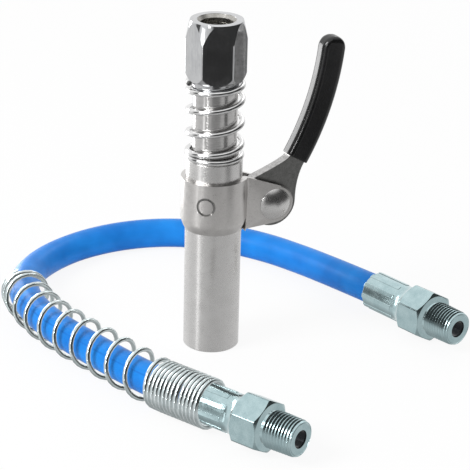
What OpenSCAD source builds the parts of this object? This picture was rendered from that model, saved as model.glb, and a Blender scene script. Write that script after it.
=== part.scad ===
// Lock-on grease coupler standing on its sleeve, with a short high-pressure hose round it.
// The origin lies on the coupler's axis at the floor, +Z runs up through the inlet,
// and the lever is on the +X side. All sizes are in millimetres.

/* [Sleeve] */
// Outer diameter of the sliding sleeve
sleeve_od = 15.2; // [14.8:0.1:16]
// Length of the sleeve
sleeve_length = 54.2; // [53:0.1:56]
// Wall left at the sleeve's mouth, where the inner cone ends
mouth_wall = 0.8; // [0.7:0.05:0.95]
// Height at which the inner cone runs out into the bore
cone_height = 5.5; // [5:0.1:6]
// Bevel on the sleeve's outer edges
sleeve_bevel = 0.25; // [0.1:0.05:0.4]
// Gap between the stem and the sleeve's bore, on the radius
stem_clearance = 0.08; // [0.04:0.01:0.1]
// Length of the sleeve's slot for the lever's nose
sleeve_slot_length = 10.8; // [10.4:0.1:12]
// Distance from the pivot's height down to the sleeve's slot end
sleeve_slot_drop = 3.0; // [2.6:0.1:3.6]

/* [Bracket] */
// Thickness of the bracket's sheet
bracket_sheet = 1.2; // [1:0.05:1.4]
// Gap between the band and the sleeve, on the radius
band_clearance = 0.02; // [0.01:0.01:0.05]
// Height of the band round the sleeve
band_height = 14.5; // [13:0.1:16]
// Distance from the band's top edge down to the pivot
pivot_drop = 9.8; // [9.2:0.1:10.4]
// Radius of the fold between band and ear
fold_radius = 1.2; // [0.8:0.1:1.6]
// Radius of the ears' round ends
ear_radius = 5.4; // [5:0.1:6]
// Step down from the band's top edge to the start of the ears
ear_step = 0.8; // [0.4:0.1:1.2]
// How far the ears reach below the band at its front
ear_sag = 1.2; // [0.8:0.1:1.6]
// Level run over which the band's top edge slopes down to that step
ear_step_run = 2.3; // [1.8:0.1:2.8]
// Level run over which the band's lower edge slopes down to the ears
ear_sag_run = 3.9; // [3.4:0.1:4.4]
// Diameter of the stake rings pressed into the band
stake_diameter = 5.2; // [4.6:0.1:6]
// Width of the stake rings
stake_width = 0.6; // [0.4:0.1:0.8]
// Depth of the stake rings
stake_depth = 0.4; // [0.2:0.05:0.6]
// Distance from the band's top edge down to the stake rings
stake_drop = 6; // [5:0.1:7]
// Angle of the stake rings from the lever's side
stake_angle = 127.5; // [115:0.5:140]

/* [Pivot] */
// Distance from the sleeve's axis to the pivot
pivot_reach = 17; // [16.8:0.1:17.4]
// Height of the pivot above the floor
pivot_height = 39.2; // [38.6:0.1:40]
// Diameter of the rivet's shank
rivet_diameter = 4; // [3.6:0.1:4.4]
// Diameter of the rivet's domed heads
rivet_head_diameter = 9; // [8:0.1:9.6]
// Height of the rivet's domed heads
rivet_head_height = 1.8; // [1.4:0.1:2.2]
// Gap between the shank and the ears, on the radius
ear_hole_clearance = 0.02; // [0.01:0.01:0.05]
// Gap between the shank and the lever, on the radius
lever_hole_clearance = 0.05; // [0.02:0.01:0.1]

/* [Lever] */
// Thickness of the lever's plate
lever_thickness = 3.1; // [2.8:0.05:3.3]
// Gap between the lever and each ear
lever_side_gap = 0.15; // [0.1:0.01:0.2]
// Gap between the lever's nose and each side of its slots
slot_side_gap = 0.2; // [0.15:0.01:0.3]
// Radius of the hub round the pivot
hub_radius = 6.7; // [6.4:0.1:7]
// Radius of the lever's nose
nose_radius = 1.9; // [1.7:0.05:2]
// Distance from the pivot to the nose's centre, measured level
nose_reach = 11.4; // [11.2:0.1:11.8]
// Height of the nose's centre above the pivot
nose_rise = 3.8; // [3.6:0.1:4]
// Slope of the arm's upper edge at the nose, in degrees
arm_slope = 21; // [19:0.5:23]
// Fillet between the arm's lower edge and the hub
arm_fillet = 1.5; // [1:0.1:2]
// Level distance from the pivot to the handle's root
handle_root_x = 6.9; // [6.7:0.1:7.1]
// Height of the handle's root above the pivot
handle_root_z = 11.7; // [11.4:0.1:12]
// Lean of the handle at its root, in degrees from level
handle_lean = 60; // [58:0.5:62]
// Radius of the handle's bend
handle_bend = 77; // [70:0.5:90]
// Length of the handle's bend, in degrees
handle_turn = 23.6; // [21:0.1:25]
// Width of the handle's steel
handle_width = 5.1; // [4.6:0.1:5.4]

/* [Grip] */
// Thickness of the dipped grip
grip_wall = 0.9; // [0.6:0.05:1.2]
// Gap between the grip's pocket and the steel
grip_clearance = 0.02; // [0.01:0.01:0.04]
// Radius of the grip's long edges
grip_round = 1.3; // [1:0.1:2]

/* [Stem] */
// Outer diameter of the stem tube
stem_od = 11.9; // [11.6:0.05:12.1]
// Height of the stem tube's lower shoulder
stem_bottom = 17.5; // [17.4:0.1:18]
// Height of the stem tube's upper end
stem_top = 73.6; // [72:0.1:75]
// Diameter of the grease passage
passage_diameter = 3; // [2.4:0.1:3.2]
// Distance from the axis to the bottom of the stem's slot
stem_slot_floor = 2.9; // [2.6:0.05:3]
// Gap between the lever's nose and the stem's slot below it
nose_clearance = 0.05; // [0.03:0.01:0.1]
// Room above the lever's nose in the stem's slot
nose_headroom = 1.7; // [1.5:0.1:2.2]
// Diameter of the neck that the jaws hook on
neck_diameter = 7; // [6.6:0.1:7.1]
// Height of that neck, from the flange to the stem's shoulder
neck_height = 2.8; // [2.7:0.05:2.9]
// Diameter of the flange below the neck
flange_diameter = 8.4; // [8.2:0.05:8.5]
// Thickness of the flange
flange_height = 1.4; // [1.2:0.05:1.5]
// Diameter of the chamber for spring, ball and nozzle tail
chamber_diameter = 4.5; // [4.4:0.05:4.7]
// Height of the ball's seat
seat_height = 30; // [29:0.1:32]
// Depth of the socket for the inlet's spigot
spigot_depth = 7.6; // [6:0.1:9]
// Diameter of the inlet's spigot
spigot_diameter = 8; // [7.4:0.1:8.6]
// Gap between the spigot and its socket, on the radius
spigot_clearance = 0.02; // [0.01:0.01:0.05]

/* [Inlet hex] */
// Width of the inlet hexagon across its flats
inlet_flats = 14.2; // [14:0.1:15]
// Height of the inlet hexagon
inlet_height = 16.2; // [15:0.1:18]
// Angle of the hexagon's first corner round the axis
inlet_turn = 39; // [0:1:60]
// Diameter of the turned neck below the hexagon
inlet_neck_diameter = 12.5; // [12.1:0.1:12.7]
// Height of the turned neck below the hexagon
inlet_neck_height = 2.4; // [2:0.1:3]
// Radius of the hexagon's top face, inside its chamfer
inlet_top_radius = 7.05; // [6.6:0.05:7.2]
// Depth of the long chamfer at the top
inlet_top_chamfer = 5.5; // [4:0.1:7]
// Radius of the hexagon's bottom face, inside its chamfer
inlet_bottom_radius = 7.1; // [6.6:0.05:7.2]
// Depth of the chamfer at the bottom
inlet_bottom_chamfer = 2; // [1:0.1:3]
// Bore diameter of the inlet's pipe thread
inlet_bore = 8.74; // [8.5:0.02:9]
// Depth of the inlet's threaded bore
inlet_bore_depth = 11; // [9:0.1:12]
// Diameter of the countersink at the inlet's mouth
inlet_mouth = 10.35; // [9.6:0.05:11]

/* [Return spring] */
// Wire diameter of the return spring
return_wire = 1.5; // [1.3:0.05:1.6]
// Mean diameter of the return spring
return_mean = 14.4; // [14.2:0.05:14.6]
// Turns that lie flat at the lower end
return_dead_turns = 0.5; // [0.3:0.05:0.7]
// Turns over which the coil opens from the lower end
return_open_turns = 1.5; // [1.2:0.05:2]
// Turns between the opening and the closing stretch
return_full_turns = 1.64; // [1:0.02:2.5]
// Turns over which the coil closes to the upper end
return_close_turns = 1.66; // [1.2:0.02:2]
// Angle round the axis at which the spring starts to rise
return_start = -114; // [-180:1:180]
// Gap between a spring's end turn and what it presses on
spring_seat_gap = 0.02; // [0.01:0.01:0.05]

/* [Jaws] */
// Gap between neighbouring jaws, in degrees round the axis
jaw_split = 8; // [6:0.5:12]
// Gap between the jaws' cone and the sleeve's cone, on the radius
jaw_clearance = 0.08; // [0.05:0.01:0.1]
// Height of the jaws' lower faces above the floor
jaw_bottom = 0.6; // [0.5:0.1:0.8]
// Diameter that the jaws' lips close to
lip_diameter = 5.8; // [5.6:0.1:6]
// Height of the jaws' lips
lip_height = 1.4; // [1.2:0.05:1.6]
// Chamfer at the entry to the lips
lip_chamfer = 0.4; // [0.3:0.05:0.5]
// Diameter of the hollow above the lips
hollow_diameter = 6.9; // [6.8:0.05:7]
// Height of the shoulder that the nozzle's head rests on
shoulder_height = 7.4; // [7.2:0.05:7.6]
// Diameter of the jaws' hollow round the nozzle's head
head_room_diameter = 8.2; // [8.1:0.05:8.3]
// Diameter of the jaws' hollow round the stem's flange
flange_room_diameter = 8.7; // [8.65:0.05:8.8]
// How far that hollow reaches below the flange
flange_room_drop = 0.9; // [0.7:0.05:1.1]
// Outer diameter of the jaws' upper part
jaw_shank_diameter = 10.9; // [10.8:0.05:11]
// Height over which the jaws narrow from their cone to that part
jaw_taper_height = 2.5; // [2:0.1:3]
// Gap between the jaws' hooks and the stem's neck, on the radius
hook_clearance = 0.15; // [0.1:0.01:0.2]
// Gap between the jaws' hooks and the flange below and shoulder above
hook_gap = 0.25; // [0.2:0.01:0.3]
// Depth of the groove for the jaws' ring
ring_groove_depth = 0.45; // [0.4:0.01:0.5]
// Height of the groove for the jaws' ring
ring_groove_height = 0.9; // [0.85:0.01:1]
// Distance from the middle of the hooks down to the ring
ring_drop = 0.3; // [0.2:0.05:0.4]
// Wire diameter of the jaws' ring
ring_wire = 0.7; // [0.6:0.02:0.74]
// Gap between the ring and the floor of its groove
ring_gap = 0.03; // [0.02:0.01:0.06]
// Gap cut in the jaws' ring, in degrees
ring_split = 12; // [6:1:20]

/* [Nozzle] */
// Diameter of the nozzle's head
nozzle_head_diameter = 7.8; // [7.7:0.02:7.9]
// Height of the nozzle's head
nozzle_head_height = 4.6; // [4.4:0.1:4.8]
// Diameter of the nozzle's snout
snout_diameter = 6.2; // [6:0.05:6.4]
// Length of the snout below the head
snout_length = 0.8; // [0.6:0.05:0.9]
// Gap between the nozzle's head and the jaws' shoulder
nozzle_seat_gap = 0.05; // [0.03:0.01:0.1]
// Gap between the nozzle's tail and the chamber, on the radius
tail_clearance = 0.08; // [0.05:0.01:0.1]
// Height of the tail's end above the floor
tail_top = 17; // [16.6:0.1:17.4]
// Diameter of the hole through the nozzle
nozzle_hole = 1.8; // [1.4:0.1:2]
// Diameter of the rubber seal
seal_diameter = 5.2; // [5:0.05:5.4]
// Thickness of the rubber seal
seal_thickness = 1.3; // [1.2:0.05:1.5]
// How far the seal stands out of the snout
seal_overhang = 0.2; // [0.1:0.05:0.3]
// Depth of the dish in the seal's face
seal_dish = 0.4; // [0.2:0.05:0.5]
// Diameter of the hole in the seal
seal_hole = 1.6; // [1.2:0.1:1.8]
// Gap between the seal and its pocket, on the radius
seal_clearance = 0.02; // [0.01:0.01:0.05]

/* [Check valve] */
// Diameter of the check ball
ball_diameter = 4; // [3.8:0.05:4.1]
// Gap between the ball and the edge of its seat
ball_seat_gap = 0.03; // [0.01:0.01:0.05]
// Wire diameter of the check spring
check_wire = 0.4; // [0.3:0.02:0.44]
// Mean diameter of the check spring
check_mean = 3.5; // [3.4:0.02:3.6]
// Turns of the check spring
check_turns = 7; // [6:0.5:8]

/* [Hose] */
// Outer diameter of the hose
hose_od = 8.7; // [8:0.1:9]
// Gap between the hose's bore and the insert in it, on the radius
hose_bore_clearance = 0.04; // [0.02:0.01:0.08]
// Outer diameter of the insert's barbs
insert_od = 4.7; // [4.5:0.05:4.9]
// Bore of the insert
insert_bore = 3; // [2.6:0.1:3.4]
// Depth of the insert's barbs
insert_barb = 0.2; // [0.1:0.05:0.3]
// Length of the insert's plain end, seated in the fitting
insert_seat = 3; // [2:0.1:4]
// Length of the insert inside the hose
insert_reach = 14; // [12:0.5:18]
// Gap between the insert's plain end and its seat, on the radius
insert_clearance = 0.02; // [0.01:0.01:0.05]

/* [Hose fittings] */
// Outer diameter of the male pipe thread
thread_od = 10; // [9.6:0.05:10.3]
// Length of the fitting's threaded end
thread_length = 9.3; // [8:0.1:11]
// Depth of the chamfer at the thread's end
thread_chamfer = 0.45; // [0.3:0.05:0.8]
// Length of the chamfer at the thread's end
thread_lead = 0.9; // [0.6:0.1:1.4]
// Width of the relief groove between thread and hexagon
relief_width = 1; // [0.8:0.1:1.4]
// Depth of the relief groove
relief_depth = 0.6; // [0.4:0.05:0.8]
// Width of the fitting's hexagon across its flats
fitting_flats = 12.7; // [12.4:0.1:13.4]
// Diameter that the hexagon's corners are turned to
corner_diameter = 14.3; // [13.8:0.05:14.4]
// Length of the hexagon
hexagon_length = 7.4; // [6:0.1:8]
// Depth of the chamfer on the hexagon's front corners
hexagon_chamfer = 0.8; // [0.4:0.1:1.2]
// Length of the chamfer on the hexagon's front corners
hexagon_lead = 0.5; // [0.3:0.1:0.8]
// Length of the turned blend between hexagon and ferrule
blend_length = 3.8; // [3.4:0.1:5]
// Outer diameter of the ferrule
ferrule_od = 10.4; // [10:0.05:10.5]
// Distance from the thread's end to the ferrule's mouth
fitting_length = 32.5; // [30:0.1:36]
// Height of the crimp ridges on the ferrule
ridge_height = 0.1; // [0.05:0.01:0.15]
// Width of the crimp ridges
ridge_width = 0.6; // [0.4:0.05:1]
// Plain length left at both ends of the ridges
ridge_inset = 0.7; // [0.4:0.1:1.5]
// Gap between the hose and the ferrule's socket, on the radius
socket_clearance = 0.04; // [0.02:0.01:0.06]
// Depth of the ferrule's socket for the hose
socket_depth = 13.8; // [12:0.1:15]
// Bore of the fitting
fitting_bore = 4.2; // [3.6:0.1:4.4]
// Countersink at the fitting's bore
fitting_countersink = 0.3; // [0.2:0.05:0.6]
// Direction of the front fitting, from its thread to its ferrule
front_heading = 117; // [112:0.5:122]
// Direction of the rear fitting, from its thread to its ferrule
rear_heading = 106; // [101:0.5:111]

/* [Guard spring] */
// Wire diameter of the guard spring
guard_wire = 1.25; // [1.1:0.05:1.3]
// Mean diameter of the guard spring
guard_mean = 12.2; // [12.1:0.05:12.6]
// Distance from the front fitting's end face to the guard's first turn
guard_start = 27.6; // [26:0.1:29]
// Closed turns over the ferrule
guard_closed_turns = 13.5; // [12:0.5:15]
// Open turns along the hose
guard_open_turns = 9.3; // [8:0.1:10]
// Pitch of the first open turn
guard_pitch = 8.0; // [7:0.1:8.5]
// Pitch of the last open turn
guard_last_pitch = 6.6; // [6:0.1:7.5]
// Narrow turns at the guard's far end
guard_end_turns = 1.9; // [1:0.1:2.5]
// Pitch of the narrow turns
guard_end_pitch = 1.5; // [1.4:0.1:2.5]
// Gap between neighbouring closed turns
guard_turn_gap = 0.02; // [0.01:0.01:0.05]
// Gap between the guard's underside and the floor
guard_floor_gap = 0.03; // [0.02:0.01:0.1]

/* [Hidden] */
$fn = 96;

// Steps along one round stretch of an outline
arc_steps = 12;
// Length by which a cutter runs past the face that it cuts
overrun = 1;

sleeve_radius = sleeve_od / 2;
bore_radius = stem_od / 2 + stem_clearance;
mouth_radius = sleeve_radius - mouth_wall;
slot_width = lever_thickness + 2 * slot_side_gap;
sleeve_slot_bottom = pivot_height - sleeve_slot_drop;

band_inner = sleeve_radius + band_clearance;
band_outer = band_inner + bracket_sheet;
band_top = pivot_height + pivot_drop;
band_bottom = band_top - band_height;
ear_inner = lever_thickness / 2 + lever_side_gap;
ear_outer = ear_inner + bracket_sheet;
fold_y = ear_outer + fold_radius;
fold_x = sqrt(pow(band_outer + fold_radius, 2) - pow(fold_y, 2));

// Distances of the ears' upper and lower starts from the band's front
shoulder_inset = 0.4;
heel_inset = 0.8;

rivet_radius = rivet_diameter / 2;

// The lever's outline is drawn about its pivot, x level and y upwards
nose = [-nose_reach, nose_rise];
arm_under = nose_rise - nose_radius;
fillet_centre_y = arm_under - arm_fillet;
fillet_centre = [-sqrt(pow(hub_radius + arm_fillet, 2) - pow(fillet_centre_y, 2)), fillet_centre_y];
handle_root = [handle_root_x, handle_root_z];
bend_centre = handle_root + handle_bend * [-sin(handle_lean), cos(handle_lean)];
bend_from = handle_lean - 90;
bend_to = bend_from + handle_turn;
handle_tip = bend_centre + handle_bend * [cos(bend_to), sin(bend_to)];
// Reach of the two smooth curves that join hub and arm to the handle
outer_blend = 3.6;
inner_blend_root = 1.5;
inner_blend_arm = 4;
// Point where the arm's straight upper edge ends, left of the pivot
arm_end_x = -5;
// Angle left out at both ends of the tip's round, where its neighbours end
tip_step = 10;

stem_radius = stem_od / 2;
passage_radius = passage_diameter / 2;
chamber_radius = chamber_diameter / 2;
neck_radius = neck_diameter / 2;
flange_top = stem_bottom - neck_height;
flange_bottom = flange_top - flange_height;
stem_slot_bottom = pivot_height + arm_under - nose_clearance;
stem_slot_top = pivot_height + nose_rise + nose_radius + nose_headroom;

inlet_bottom = stem_top + inlet_neck_height;
inlet_top = inlet_bottom + inlet_height;
inlet_corner = inlet_flats / 2 / cos(30);
bore_floor = inlet_top - inlet_bore_depth;
// Half angle of the drill's point at the bore's floor
drill_point = 59;

return_low = sleeve_length + return_wire / 2 + spring_seat_gap;
return_high = inlet_bottom - return_wire / 2 - spring_seat_gap;
return_turns = return_open_turns + return_full_turns + return_close_turns;
return_pitch = (return_high - return_low) / (return_turns - return_open_turns / 2 - return_close_turns / 2);

cone_slope = (mouth_radius - bore_radius) / cone_height;
jaw_shank_radius = jaw_shank_diameter / 2;
jaw_hollow_radius = hollow_diameter / 2;
jaw_count = 4;
jaw_pitch = 360 / jaw_count;
jaw_span = jaw_pitch - jaw_split;
lip_radius = lip_diameter / 2;
lip_bottom = jaw_bottom + lip_chamfer;
lip_top = lip_bottom + lip_height;
hook_bottom = flange_top + hook_gap;
hook_top = stem_bottom - hook_gap;
hook_radius = neck_radius + hook_clearance;
flange_room_bottom = flange_bottom - flange_room_drop;
ring_height = (hook_bottom + hook_top) / 2 - ring_drop;
ring_radius = jaw_shank_radius - ring_groove_depth + ring_wire / 2 + ring_gap;

head_bottom = shoulder_height + nozzle_seat_gap;
head_top = head_bottom + nozzle_head_height;
snout_bottom = head_bottom - snout_length;
tail_radius = chamber_radius - tail_clearance;
seal_bottom = snout_bottom - seal_overhang;

ball_radius = ball_diameter / 2;
ball_height = seat_height - sqrt(pow(ball_radius, 2) - pow(passage_radius, 2)) - ball_seat_gap;
check_low = tail_top + check_wire / 2 + spring_seat_gap;
check_touch = sqrt(pow(ball_radius + check_wire / 2, 2) - pow(check_mean / 2, 2));
check_high = ball_height - check_touch - spring_seat_gap;

hose_sides = 12;
ridge_count = 8;
hose_radius = hose_od / 2;
hose_bore_radius = (insert_od / 2 + hose_bore_clearance) / cos(180 / hose_sides);
socket_radius = hose_radius + socket_clearance;
socket_floor = fitting_length - socket_depth;
fitting_height = corner_diameter / 2;
// Middles of the two threads' end faces
front_end = [-8, -72, fitting_height];
rear_end = [59.5, -32, fitting_height];

// Free stretch of the hose, from the front fitting round to the rear one
hose_points = [
    [-28.0, -31.0, 6.7], [-31.8, -19.0, 6.1], [-35.4, -7.0, 5.9], [-38.9, 4.8, 5.9],
    [-41.5, 16.6, 5.9], [-42.2, 28.8, 5.9], [-40.2, 40.8, 5.8], [-34.0, 51.6, 5.1],
    [-24.8, 60.3, 4.6], [-13.6, 66.0, 4.4], [-1.2, 68.2, 4.4], [11.2, 66.8, 4.4],
    [22.0, 61.8, 4.4], [30.6, 53.2, 4.5], [37.4, 42.4, 4.9], [42.3, 30.0, 5.5],
    [45.7, 18.2, 6.2], [48.4, 7.2, 6.9],
];
// The hose runs straight in each socket, past a point inside its mouth, and a little beyond
mouth_inset = 1;
straight_run = 3;
route = concat(
    [for (s = [socket_floor, fitting_length - mouth_inset, fitting_length + straight_run])
        on_fitting(front_end, front_heading, s)],
    hose_points,
    [for (s = [fitting_length + straight_run, fitting_length - mouth_inset, socket_floor])
        on_fitting(rear_end, rear_heading, s)]
);

guard_radius = guard_mean / 2;
guard_rest = guard_radius + guard_wire / 2 + guard_floor_gap;
guard_route = [for (p = route) [p.x, p.y, max(p.z, guard_rest)]];
guard_track = smooth_path(guard_route, 6);
guard_run = run_lengths(guard_track);
guard_closed_pitch = guard_wire + guard_turn_gap;
guard_open_from = guard_closed_turns;
// Turns over which the guard's pitch changes at both ends of its open part
guard_ease = 0.1;
guard_open_to = guard_closed_turns + guard_open_turns;
guard_turns = guard_open_to + guard_end_turns;

// Point on a fitting's axis, a distance s from its thread's end
function on_fitting(end, heading, s) = end + s * [cos(heading), sin(heading), 0];

// Points on a circle's arc between two angles
function arc(centre, radius, from, to, steps = arc_steps) =
    [for (i = [0:steps]) let (a = from + (to - from) * i / steps) centre + radius * [cos(a), sin(a)]];

// Points on a cubic curve between a and d, without the two ends
function curve(a, b, c, d, steps = arc_steps) =
    [for (i = [1:steps - 1]) let (t = i / steps, u = 1 - t)
        u * u * u * a + 3 * u * u * t * b + 3 * u * t * t * c + t * t * t * d];

// Point where a line from p touches a circle, on the side +1 or -1
function touch_point(p, centre, radius, side) =
    let (gap = centre - p, d = norm(gap), turn = side * asin(radius / d), run = sqrt(d * d - radius * radius))
    p + run * [cos(atan2(gap.y, gap.x) + turn), sin(atan2(gap.y, gap.x) + turn)];

// Area under a slope that starts at x = from and grows to 1 over a length
function ramp(x, from, length) =
    x < from ? 0 : x < from + length ? pow(x - from, 2) / (2 * length) : x - from - length / 2;

// One point between b and c of a smooth curve through four points
function smooth_point(a, b, c, d, t) =
    (2 * b + (c - a) * t + (2 * a - 5 * b + 4 * c - d) * t * t + (3 * b - a - 3 * c + d) * t * t * t) / 2;

// A smooth path through all points of a list, cut into steps between each two
function smooth_path(points, steps) =
    let (
        n = len(points),
        before = 2 * points[0] - points[1],
        after = 2 * points[n - 1] - points[n - 2],
        ends = concat([before], points, [after])
    )
    concat(
        [for (i = [0:n - 2], k = [0:steps - 1])
            smooth_point(ends[i], ends[i + 1], ends[i + 2], ends[i + 3], k / steps)],
        [points[n - 1]]
    );

// Length run at each point of a path
function run_lengths(path, i = 0, run = 0) =
    i == len(path) - 1 ? [run] : concat([run], run_lengths(path, i + 1, run + norm(path[i + 1] - path[i])));

// Point at a length along a path
function at_length(path, run, s) =
    [for (axis = [0:2]) lookup(s, [for (i = [0:len(path) - 1]) [run[i], path[i][axis]]])];

function unit(v) = v / norm(v);

// Forward direction of a path at one of its points
function heading_of(path, i) = unit(path[min(i + 1, len(path) - 1)] - path[max(i - 1, 0)]);

// One ring of points round a path's point, facing along the given direction
function ring_points(centre, forward, radius, sides, roll = 0) =
    let (side = unit(cross(forward, [0, 0, 1])), up = cross(side, forward))
    [for (k = [0:sides - 1]) let (a = roll + 360 * k / sides)
        centre + radius * (cos(a) * side + sin(a) * up)];

// Three-sided faces between ring number first and the next one
function ring_faces(first, sides) =
    [for (k = [0:sides - 1]) let (a = first * sides + k, b = first * sides + (k + 1) % sides)
        each [[a, b, b + sides], [a, b + sides, a + sides]]];

// A solid rod through rings of points
module rod(rings) {
    sides = len(rings[0]);
    count = len(rings);
    polyhedron(
        points = [for (ring = rings, p = ring) p],
        faces = concat(
            [[for (k = [0:sides - 1]) sides - 1 - k]],
            [for (i = [0:count - 2], face = ring_faces(i, sides)) face],
            [[for (k = [0:sides - 1]) (count - 1) * sides + k]]
        )
    );
}

// A wire coil about Z, with its height given for each step
module upright_coil(heights, mean_radius, wire, start, steps, sides) {
    path = [for (i = [0:len(heights) - 1]) let (a = start + 360 * i / steps)
        [mean_radius * cos(a), mean_radius * sin(a), heights[i]]];
    rod([for (i = [0:len(path) - 1])
        ring_points(path[i], heading_of(path, i), wire / 2, sides, 180 / sides)]);
}

// Turns a shape drawn level and upwards into the lever's upright plane, at the pivot
module in_lever_plane() {
    translate([pivot_reach, 0, pivot_height]) rotate([90, 0, 0]) children();
}

module rounded_bar(width, height, round) {
    offset_x = width / 2 - round;
    offset_y = height / 2 - round;
    union() {
        square([width, 2 * offset_y], center = true);
        square([2 * offset_x, height], center = true);
        for (x = [-offset_x, offset_x], y = [-offset_y, offset_y])
            translate([x, y]) circle(r = round, $fn = 32);
    }
}

// The handle's bend with a round end, for a section drawn about the handle's middle
module handle_form(width) {
    translate(bend_centre) rotate([0, 0, bend_to]) {
        rotate_extrude(angle = handle_turn, start = -handle_turn, $fn = 180)
            translate([handle_bend, 0]) children();
        translate([handle_bend, 0]) rotate_extrude(angle = 180, start = 0, $fn = 48) intersection() {
            children();
            translate([0, -width]) square([width, 2 * width]);
        }
    }
}

module sleeve() {
    color("silver") difference() {
        rotate_extrude() polygon([
            [mouth_radius, 0],
            [sleeve_radius - sleeve_bevel, 0],
            [sleeve_radius, sleeve_bevel],
            [sleeve_radius, sleeve_length - sleeve_bevel],
            [sleeve_radius - sleeve_bevel, sleeve_length],
            [bore_radius, sleeve_length],
            [bore_radius, cone_height],
        ]);
        translate([0, -slot_width / 2, sleeve_slot_bottom])
            cube([sleeve_od, slot_width, sleeve_slot_length]);
    }
}

// The wedge between the sleeve's axis and the centres of the two folds
module fold_wedge(height) {
    linear_extrude(height) polygon([[0, 0], [fold_x, fold_y], [fold_x, -fold_y]]);
}

module fold_rods(radius, height) {
    for (side = [-1, 1]) translate([fold_x, side * fold_y, 0]) cylinder(r = radius, h = height);
}

// The band, its two folds and its two ears, as tall as asked
module bracket_wall(height) {
    reach = pivot_reach + 2 * ear_radius;
    difference() {
        union() {
            cylinder(r = band_outer, h = height);
            translate([0, -ear_outer, 0]) cube([reach, 2 * ear_outer, height]);
            fold_wedge(height);
        }
        fold_rods(fold_radius, height);
        cylinder(r = band_inner, h = height);
        translate([0, -ear_inner, 0]) cube([reach + overrun, 2 * ear_inner, height]);
        difference() {
            fold_wedge(height);
            fold_rods(fold_radius + bracket_sheet, height);
        }
    }
}

// What the band and ears keep of that wall, seen from the side
module bracket_side() {
    pivot = [pivot_reach, pivot_height];
    shoulder = [band_outer - shoulder_inset, band_top - ear_step];
    heel = [band_outer - heel_inset, band_bottom - ear_sag];
    // A cutter deeper than the band is wide
    depth = 2 * band_outer + 2 * overrun;
    translate([-depth / 2, -depth / 2, band_bottom]) cube([depth / 2 + fold_x / 2, depth, band_height]);
    in_lever_plane() cylinder(r = ear_radius, h = depth, center = true);
    rotate([90, 0, 0]) linear_extrude(depth, center = true) polygon([
        [heel.x - ear_sag_run, band_bottom],
        heel,
        touch_point(heel, pivot, ear_radius, -1),
        pivot,
        touch_point(shoulder, pivot, ear_radius, 1),
        shoulder,
        [shoulder.x - ear_step_run, band_top],
        [0, band_top],
        [0, band_bottom],
    ]);
}

module stake_ring(angle) {
    rotate([0, 0, angle]) translate([band_outer - stake_depth, 0, band_top - stake_drop]) rotate([0, 90, 0])
        difference() {
            cylinder(d = stake_diameter, h = stake_depth + overrun);
            cylinder(d = stake_diameter - 2 * stake_width, h = stake_depth + overrun);
        }
}

module lever_bracket() {
    color("silver") difference() {
        intersection() {
            translate([0, 0, band_bottom - ear_radius]) bracket_wall(band_height + 2 * ear_radius);
            bracket_side();
        }
        in_lever_plane() cylinder(r = rivet_radius + ear_hole_clearance, h = 4 * ear_outer, center = true);
        for (side = [-1, 1]) stake_ring(side * stake_angle);
    }
}

// A domed head standing on the ear's outer face
module rivet_head() {
    head_radius = rivet_head_diameter / 2;
    dome = (pow(head_radius, 2) + pow(rivet_head_height, 2)) / (2 * rivet_head_height);
    translate([0, 0, ear_outer]) rotate_extrude() intersection() {
        translate([0, rivet_head_height - dome]) circle(r = dome);
        square([head_radius, rivet_head_height]);
    }
}

module pivot_rivet() {
    color("gainsboro") in_lever_plane() {
        cylinder(r = rivet_radius, h = 2 * ear_outer, center = true);
        rivet_head();
        mirror([0, 0, 1]) rivet_head();
    }
}

function lever_outline() =
    let (
        half = handle_width / 2,
        up = [cos(handle_lean), sin(handle_lean)],
        out = [sin(handle_lean), -cos(handle_lean)],
        outer_root = handle_root + half * out,
        inner_root = handle_root - half * out,
        arm_start = nose + nose_radius * [-sin(arm_slope), cos(arm_slope)],
        arm = [cos(arm_slope), sin(arm_slope)],
        arm_end = arm_start + (arm_end_x - arm_start.x) / arm.x * arm,
        fillet_end = atan2(-fillet_centre.y, -fillet_centre.x)
    )
    concat(
        arc(nose, nose_radius, 90 + arm_slope, 270),
        arc(fillet_centre, arm_fillet, 90, fillet_end),
        arc([0, 0], hub_radius, fillet_end + 180, 360, 2 * arc_steps),
        curve([hub_radius, 0], [hub_radius, outer_blend], outer_root - outer_blend * up, outer_root),
        arc(bend_centre, handle_bend + half, bend_from, bend_to),
        arc(handle_tip, half, bend_to + tip_step, bend_to + 180 - tip_step),
        arc(bend_centre, handle_bend - half, bend_to, bend_from),
        curve(inner_root, inner_root - inner_blend_root * up, arm_end + inner_blend_arm * arm, arm_end),
        [arm_end]
    );

module lever_plate() {
    color("silver") in_lever_plane() difference() {
        linear_extrude(lever_thickness, center = true) polygon(lever_outline());
        cylinder(r = rivet_radius + lever_hole_clearance, h = 2 * lever_thickness, center = true);
    }
}

module lever_grip() {
    pocket_width = handle_width + 2 * grip_clearance;
    pocket_thickness = lever_thickness + 2 * grip_clearance;
    grip_width = handle_width + 2 * grip_wall;
    color("#1b1c1e") in_lever_plane() difference() {
        handle_form(grip_width) rounded_bar(grip_width, lever_thickness + 2 * grip_wall, grip_round);
        handle_form(pocket_width) square([pocket_width, pocket_thickness], center = true);
    }
}

module stem_tube() {
    color("silver") difference() {
        rotate_extrude() polygon([
            [chamber_radius, flange_bottom],
            [flange_diameter / 2, flange_bottom],
            [flange_diameter / 2, flange_top],
            [neck_radius, flange_top],
            [neck_radius, stem_bottom],
            [stem_radius, stem_bottom],
            [stem_radius, stem_top],
            [spigot_diameter / 2 + spigot_clearance, stem_top],
            [spigot_diameter / 2 + spigot_clearance, stem_top - spigot_depth],
            [passage_radius, stem_top - spigot_depth],
            [passage_radius, seat_height],
            [chamber_radius, seat_height],
        ]);
        translate([stem_slot_floor, -slot_width / 2, stem_slot_bottom])
            cube([stem_od, slot_width, stem_slot_top - stem_slot_bottom]);
    }
}

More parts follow.
